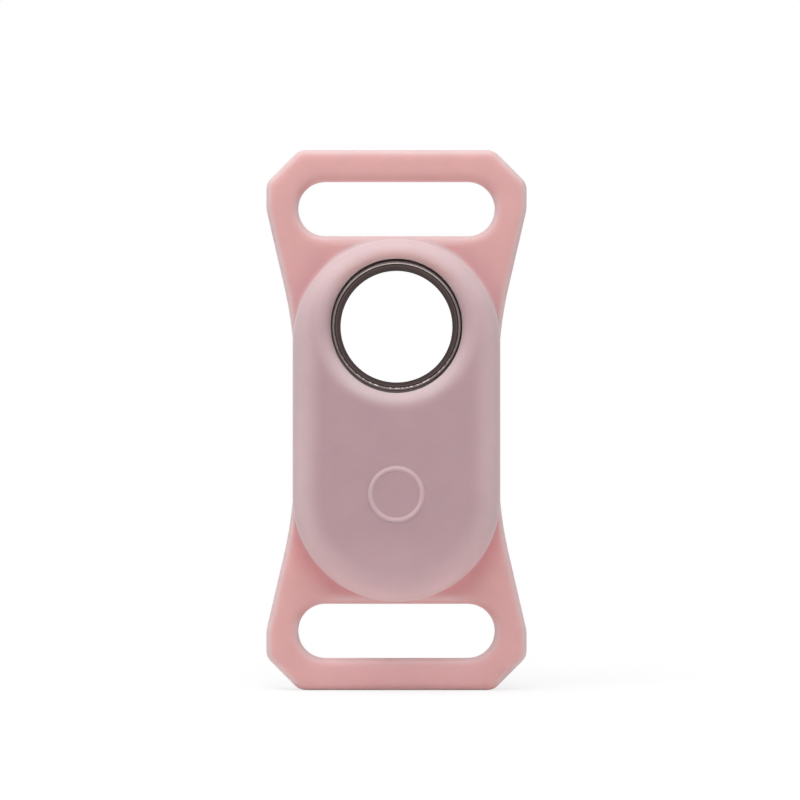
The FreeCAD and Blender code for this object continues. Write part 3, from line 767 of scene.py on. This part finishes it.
def turned_gunmetal():
    """The ring: brown-black cone, a painted highlight with dotted glints on the edge where the flat land
    breaks, a painted shade line in the step, a flange chamfer painted lighter, and a dull bore.
    """
    material, tree, shader = new_material("turned_gunmetal")
    place = place_on(tree)
    _, y, z = parts_of(tree, place)
    turned = use_group(tree, turned_lines, Place=place, Height=RING_Z, Rings=60000.0)
    grain = use_group(tree, fine_grain, Place=place, Grain=9000.0, Mottle=500.0)
    radius = turned["Radius"]
    in_bore = ramp_mm(tree, radius, 8.64, 8.61)
    bands = (
        # Painted light on the flange's outer chamfer.
        (ramp_mm(tree, radius, 9.66, 9.74), RIM_LIT_BROWN),
        (in_bore, BORE_BROWN),
        (ramp_mm(tree, distance_to(tree, radius, 9.13 * MM), 0.11, 0.03, 0.0, 0.6), STREAK_BROWN),
        # Painted shade in the step between the land and the cone.
        (ramp_mm(tree, distance_to(tree, radius, 9.36 * MM), 0.12, 0.05, 0.0, 0.55), STEP_SHADE_BLACK),
    )
    colour = blend_colours(tree, ramp_mm(tree, radius, 9.44, 9.65), CONE_BROWN, LAND_BROWN)
    for share, tint in bands:
        colour = blend_colours(tree, share, colour, tint)
    # Painted highlight on the land's edge, strongest at the top and bottom of the ring, broken into dotted
    # glints towards the bottom.
    up = sum_of(tree, "DIVIDE", sum_of(tree, "SUBTRACT", z, RING_Z), radius)
    at_ends = ramp(tree, sum_of(tree, "ABSOLUTE", up), 0.3, 0.95, 0.3, 1.0)
    glint_specks = ramp(tree, noise(tree, place, 2400.0, 1.0), 0.40, 0.60)
    unbroken = sum_of(tree, "MAXIMUM", glint_specks, ramp(tree, up, -0.6, 0.2, 0.25, 0.8))
    on_edge = ramp_mm(tree, distance_to(tree, radius, 9.49 * MM), 0.09, 0.04)
    edge_highlight = all_of(tree, on_edge, ramp_mm(tree, y, -8.6, -8.9), at_ends, unbroken)
    highlight_colour = blend_colours(tree, ramp(tree, up, -0.6, -0.9), EDGE_HIGHLIGHT_METAL, LOW_EDGE_HIGHLIGHT_METAL)
    colour = blend_colours(tree, edge_highlight, colour, highlight_colour)
    rough = sum_of(tree, "MULTIPLY_ADD", turned["Lines"], 0.1, 0.26)
    rough = sum_of(tree, "MULTIPLY_ADD", grain["Mottle"], 0.08, rough)
    rough = sum_of(tree, "MAXIMUM", rough, sum_of(tree, "MULTIPLY", in_bore, 0.5))
    dress(tree, shader, colour, rough, bump(tree, turned["Lines"], 0.15, 0.01 * MM))
    set_plain(shader, {"Metallic": 1.0, "Specular Tint": (0.3, 0.26, 0.26, 1)})
    return material


def moulded_plastic(name, dark, light, roughness, grain_size, gloss_change):
    """Spark-textured moulding with a little mottling."""
    material, tree, shader = new_material(name)
    grain = use_group(tree, fine_grain, Place=place_on(tree), Grain=grain_size, Mottle=220.0)
    share = sum_of(tree, "MULTIPLY_ADD", grain["Mottle"], 0.6, sum_of(tree, "MULTIPLY", grain["Grain"], 0.5))
    rough = sum_of(tree, "MULTIPLY_ADD", grain["Grain"], gloss_change, roughness)
    rough = sum_of(tree, "MULTIPLY_ADD", grain["Mottle"], 0.06, rough)
    colour = blend_colours(tree, share, dark, light)
    dress(tree, shader, colour, rough, bump(tree, grain["Grain"], 0.3, 0.03 * MM))
    return material


def paint_light_on_ring_seat(material):
    """Paints light on the front shell's rim round the ring: paler, most of all at its lower left, where the
    rim catches the light.
    """
    tree = material.node_tree
    colour_socket = tree.nodes["Principled BSDF"].inputs["Base Color"]
    plain = colour_socket.links[0].from_socket
    x, y, z = parts_of(tree, place_on(tree))
    on_rim = ramp_mm(tree, radius_round(tree, x, z, RING_Z), 10.6, 10.3)
    low_left = sum_of(tree, "MULTIPLY_ADD", x, -0.6, sum_of(tree, "SUBTRACT", RING_Z, z))
    # Painted light on the lower left of the rim round the ring.
    lit_seat = all_of(tree, on_rim, ramp_mm(tree, low_left, 1, 9), ramp_mm(tree, y, -7, -8.5))
    tree.links.new(blend_colours(tree, lit_seat, plain, SEAT_LIGHT_PLASTIC), colour_socket)


def seal_rubber():
    """Dark red rubber with a faint bloom."""
    material, tree, shader = new_material("seal_rubber")
    grain = use_group(tree, fine_grain, Place=place_on(tree), Grain=5000.0, Mottle=400.0)
    colour = blend_colours(tree, grain["Mottle"], (0.30, 0.045, 0.038, 1), (0.38, 0.065, 0.05, 1))
    bloom = ramp(tree, grain["Grain"], 0.6, 0.75, 0.0, 0.25)
    colour = blend_colours(tree, bloom, colour, (0.5, 0.26, 0.24, 1))
    rough = sum_of(tree, "MULTIPLY_ADD", grain["Grain"], 0.2, 0.6)
    dress(tree, shader, colour, rough, bump(tree, grain["Grain"], 0.25, 0.02 * MM))
    return material


def board_laminate():
    """Green mask over copper tracks, with the weave of the glass cloth just showing."""
    threads = 14000.0
    material, tree, shader = new_material("board_laminate")
    place = place_on(tree)
    x, _, z = parts_of(tree, place)
    grain = use_group(tree, fine_grain, Place=place, Grain=5200.0, Mottle=260.0)
    warp = sum_of(tree, "SINE", sum_of(tree, "MULTIPLY", x, threads))
    weft = sum_of(tree, "SINE", sum_of(tree, "MULTIPLY", z, threads))
    weave = sum_of(tree, "MULTIPLY", warp, weft)
    tracks = tree.nodes.new("ShaderNodeTexVoronoi")
    tracks.distance = "MANHATTAN"
    tracks.feature = "DISTANCE_TO_EDGE"
    tracks.inputs["Scale"].default_value = 620.0
    tree.links.new(place, tracks.inputs["Vector"])
    on_track = ramp(tree, tracks.outputs["Distance"], 0.1, 0.07)
    colour = blend_colours(tree, grain["Mottle"], (0.018, 0.12, 0.058, 1), (0.026, 0.15, 0.075, 1))
    colour = blend_colours(tree, on_track, colour, (0.045, 0.22, 0.10, 1))
    colour = blend_colours(tree, ramp(tree, weave, 0.2, 0.9, 0.0, 0.3), colour, (0.06, 0.2, 0.11, 1))
    rough = sum_of(tree, "MULTIPLY_ADD", grain["Grain"], 0.15, 0.28)
    height = sum_of(tree, "MULTIPLY_ADD", weave, 0.15, on_track)
    dress(tree, shader, colour, rough, bump(tree, height, 0.3, 0.03 * MM))
    return material


def sheet_metal(name, clean, dull, roughness):
    """Rolled sheet with drawn scratches and duller patches."""
    material, tree, shader = new_material(name)
    marks = use_group(tree, drawn_scratches, Place=place_on(tree), Fineness=2600.0)
    colour = blend_colours(tree, marks["Dulling"], clean, dull)
    rough = sum_of(tree, "MULTIPLY_ADD", marks["Scratches"], 0.14, roughness)
    rough = sum_of(tree, "MULTIPLY_ADD", marks["Dulling"], 0.1, rough)
    dress(tree, shader, colour, rough, bump(tree, marks["Scratches"], 0.12, 0.01 * MM))
    set_plain(shader, {"Metallic": 1.0})
    return material


def fired_ceramic():
    """Pale ceramic with fine brown specks."""
    material, tree, shader = new_material("fired_ceramic")
    grain = use_group(tree, fine_grain, Place=place_on(tree), Grain=4200.0, Mottle=350.0)
    colour = blend_colours(tree, grain["Mottle"], (0.70, 0.65, 0.55, 1), (0.78, 0.74, 0.65, 1))
    speck = ramp(tree, grain["Grain"], 0.62, 0.72, 0.0, 0.35)
    colour = blend_colours(tree, speck, colour, (0.42, 0.36, 0.28, 1))
    rough = sum_of(tree, "MULTIPLY_ADD", grain["Grain"], 0.2, 0.4)
    dress(tree, shader, colour, rough, bump(tree, grain["Grain"], 0.2, 0.01 * MM))
    return material


def drawn_cell_steel():
    """The cell's can and cap: pressed rings on the flats, light handling marks."""
    material, tree, shader = new_material("drawn_cell_steel")
    place = place_on(tree)
    turned = use_group(tree, turned_lines, Place=place, Height=CELL_Z, Rings=16000.0)
    marks = use_group(tree, drawn_scratches, Place=place, Fineness=1800.0)
    colour = blend_colours(tree, turned["Lines"], (0.60, 0.60, 0.59, 1), (0.68, 0.68, 0.67, 1))
    dulled = sum_of(tree, "MULTIPLY", marks["Dulling"], 0.4)
    colour = blend_colours(tree, dulled, colour, (0.48, 0.47, 0.45, 1))
    rough = sum_of(tree, "MULTIPLY_ADD", turned["Lines"], 0.06, 0.24)
    rough = sum_of(tree, "MULTIPLY_ADD", marks["Scratches"], 0.12, rough)
    dress(tree, shader, colour, rough, bump(tree, turned["Lines"], 0.12, 0.01 * MM))
    set_plain(shader, {"Metallic": 1.0})
    return material


put_on(pink_silicone(), sleeve_skin, button_skin)
finishes = {
    "tag_plastic": moulded_plastic(
        "tag_plastic", dark=(0.018, 0.012, 0.012, 1), light=(0.036, 0.025, 0.025, 1),
        roughness=0.38, grain_size=5200.0, gloss_change=0.2,
    ),
    "tray_plastic": moulded_plastic(
        "tray_plastic", dark=(0.022, 0.022, 0.024, 1), light=(0.04, 0.04, 0.043, 1),
        roughness=0.42, grain_size=4200.0, gloss_change=0.16,
    ),
    "switch_plastic": moulded_plastic(
        "switch_plastic", dark=(0.014, 0.014, 0.014, 1), light=(0.03, 0.03, 0.03, 1),
        roughness=0.5, grain_size=6400.0, gloss_change=0.1,
    ),
    "gunmetal": turned_gunmetal(),
    "seal_rubber": seal_rubber(),
    "board_laminate": board_laminate(),
    "tinned_steel": sheet_metal(
        "tinned_steel", clean=(0.62, 0.62, 0.60, 1), dull=(0.47, 0.47, 0.455, 1), roughness=0.26,
    ),
    "contact_brass": sheet_metal(
        "contact_brass", clean=(0.72, 0.50, 0.20, 1), dull=(0.52, 0.34, 0.13, 1), roughness=0.24,
    ),
    "ceramic": fired_ceramic(),
    "cell_steel": drawn_cell_steel(),
}
paint_light_on_ring_seat(finishes["tag_plastic"])
for subpart in frame["record"]["subparts"]:
    if subpart["material_slot"] in finishes:
        put_on(finishes[subpart["material_slot"]], nodes[subpart["node"]])


# Floor, light and camera

def seen_directly(tree):
    """One where the camera, a reflection or a clear piece sees the surface."""
    path = tree.nodes.new("ShaderNodeLightPath")
    mirrored = sum_of(tree, "MAXIMUM", path.outputs["Is Glossy Ray"], path.outputs["Is Transmission Ray"])
    return sum_of(tree, "MAXIMUM", path.outputs["Is Camera Ray"], mirrored)


def show_white(tree, share, plain, white, output):
    """Shows white in place of the plain shader, by a share."""
    mix = tree.nodes.new("ShaderNodeMixShader")
    for value, socket in zip((share, plain.outputs[0], white.outputs[0]), mix.inputs):
        tree.links.new(value, socket)
    tree.links.new(mix.outputs[0], tree.nodes[output].inputs["Surface"])


def pale_paper():
    """White paper that keeps the object's soft shadow close to it."""
    material, tree, shader = new_material("pale_paper")
    set_plain(shader, {"Base Color": (0.92, 0.92, 0.92, 1), "Roughness": 0.9})
    x, y, _ = parts_of(tree, place_on(tree))
    white_share = ramp(tree, length_of(tree, x, y), 0.04, 0.22, 0.7, 1.0)
    share = sum_of(tree, "MULTIPLY", seen_directly(tree), white_share)
    show_white(tree, share, shader, tree.nodes.new("ShaderNodeEmission"), "Material Output")
    return material


def studio_world():
    """Soft light from all round, seen as white."""
    world = bpy.data.worlds.new("studio")
    world.use_nodes = True
    tree = world.node_tree
    ambient = tree.nodes["Background"]
    white = tree.nodes.new("ShaderNodeBackground")
    for background in (ambient, white):
        background.inputs["Color"].default_value = (1, 1, 1, 1)
    ambient.inputs["Strength"].default_value = 0.26
    show_white(tree, seen_directly(tree), ambient, white, "World Output")
    return world


def soft_light(name, place, size, watts, mirrored):
    """A square lamp that faces the object's origin, and shows in the metal only where mirrored."""
    lamp = bpy.data.lights.new(name, "AREA")
    lamp.size = size
    lamp.energy = watts
    holder = bpy.data.objects.new(name, lamp)
    bpy.context.scene.collection.objects.link(holder)
    holder.location = place
    holder.visible_glossy = mirrored
    holder.rotation_euler = (-Vector(place)).to_track_quat("-Z", "Y").to_euler()


bpy.ops.object.select_all(action="DESELECT")
bpy.ops.mesh.primitive_plane_add(size=6, location=(0, 0, -FRAME_HALF_LENGTH))
floor = named("floor")
bpy.ops.object.transform_apply(location=True, rotation=True, scale=True)
put_on(pale_paper(), floor)

bpy.context.scene.world = studio_world()
soft_light("top_softbox", place=(-0.11, -0.3, 0.8), size=0.85, watts=8.9, mirrored=False)
soft_light("front_softbox", place=(0.1, -1.3, 0.3), size=1.0, watts=1.8, mirrored=True)
soft_light("rear_softbox", place=(0, 1.25, 0.25), size=1.0, watts=6.0, mirrored=False)

eye = bpy.data.cameras.new("camera")
eye.lens = 175.5
eye.sensor_width = 36
eye.clip_start = 0.01
camera = bpy.data.objects.new("camera", eye)
bpy.context.scene.collection.objects.link(camera)
camera.location = (0.54 * MM, -602 * MM, 3.08 * MM)
camera.rotation_euler = (math.pi / 2, 0, 0)
bpy.context.scene.camera = camera
bpy.context.scene.view_settings.view_transform = "Standard"
